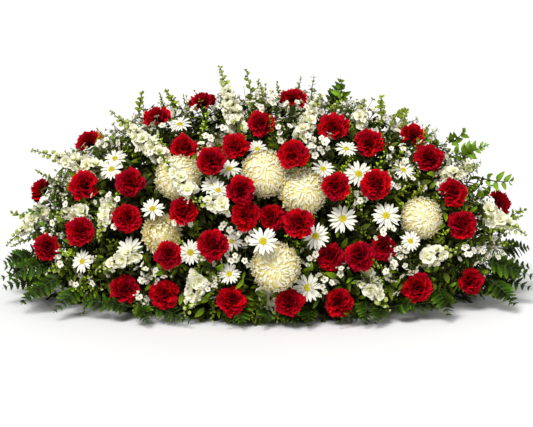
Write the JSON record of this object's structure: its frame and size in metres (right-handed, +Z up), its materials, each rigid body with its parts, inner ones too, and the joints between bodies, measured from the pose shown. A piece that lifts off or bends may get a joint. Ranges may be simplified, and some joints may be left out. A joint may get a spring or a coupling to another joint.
{
  "type": "casket spray",
  "caption": "Low dome of red carnations, cream chrysanthemums, daisies and white spikes over greens and fern fronds, with stems held in floral foam in a shallow oblong tray.",
  "frame": {"origin": "on the surface that the tray stands on, under the middle of the tray", "axes": "+X along the spray, to the viewer's right; -Y towards the front, which the picture shows; +Z up"},
  "size_m": [1.0968, 0.6612, 0.4715],
  "materials": {
    "red_petals": "soft matte carnation petals, deep red",
    "cream_petals": "matte chrysanthemum petals, warm cream",
    "white_petals": "matte daisy petals, white with a yellow disc",
    "floret_white": "matte snapdragon florets, white to cream with lime buds",
    "wax_petals": "small waxy flowers, white to pale pink",
    "fern_green": "leathery fern fronds, dark green",
    "leaf_green": "satin leaves, dark green",
    "sprig_green": "satin small leaves, grey-green to lime",
    "foam_green": "wet floral foam, dull green and crumbly",
    "tray_plastic": "moulded plastic tray, black-green, low sheen"
  },
  "bodies": {
    "root": {"bed": "leaf_green", "foam": "foam_green", "tray": "tray_plastic", "carnation_01": "red_petals", "carnation_02": "red_petals", "carnation_03": "red_petals", "carnation_04": "red_petals", "carnation_05": "red_petals", "carnation_06": "red_petals", "carnation_07": "red_petals", "carnation_08": "red_petals", "carnation_09": "red_petals", "carnation_10": "red_petals", "carnation_11": "red_petals", "carnation_12": "red_petals", "carnation_13": "red_petals", "carnation_14": "red_petals", "carnation_15": "red_petals", "carnation_16": "red_petals", "carnation_17": "red_petals", "carnation_18": "red_petals", "carnation_19": "red_petals", "daisy_01": "white_petals", "daisy_02": "white_petals", "daisy_03": "white_petals", "daisy_04": "white_petals", "daisy_05": "white_petals", "daisy_06": "white_petals", "daisy_07": "white_petals", "daisy_08": "white_petals", "daisy_09": "white_petals", "mum_01": "cream_petals", "mum_02": "cream_petals", "mum_03": "cream_petals", "mum_04": "cream_petals", "mum_05": "cream_petals", "mum_06": "cream_petals", "mum_07": "cream_petals", "spike_01": "floret_white", "spike_02": "floret_white", "spike_03": "floret_white", "spike_04": "floret_white", "spike_05": "floret_white", "spike_06": "floret_white", "spike_07": "floret_white", "spike_08": "floret_white", "eucalyptus_top": "sprig_green", "eucalyptus_right": "sprig_green", "eucalyptus_left": "sprig_green", "greens_left": "sprig_green", "greens_right": "sprig_green", "waxflower_left": "wax_petals", "waxflower_right": "wax_petals", "fern_left": "fern_green", "fern_front_left": "fern_green", "fern_front_middle": "fern_green", "fern_front_right": "fern_green", "fern_right": "fern_green", "fern_back_left": "fern_green", "fern_back_right": "fern_green"}
  },
  "joints": []
}
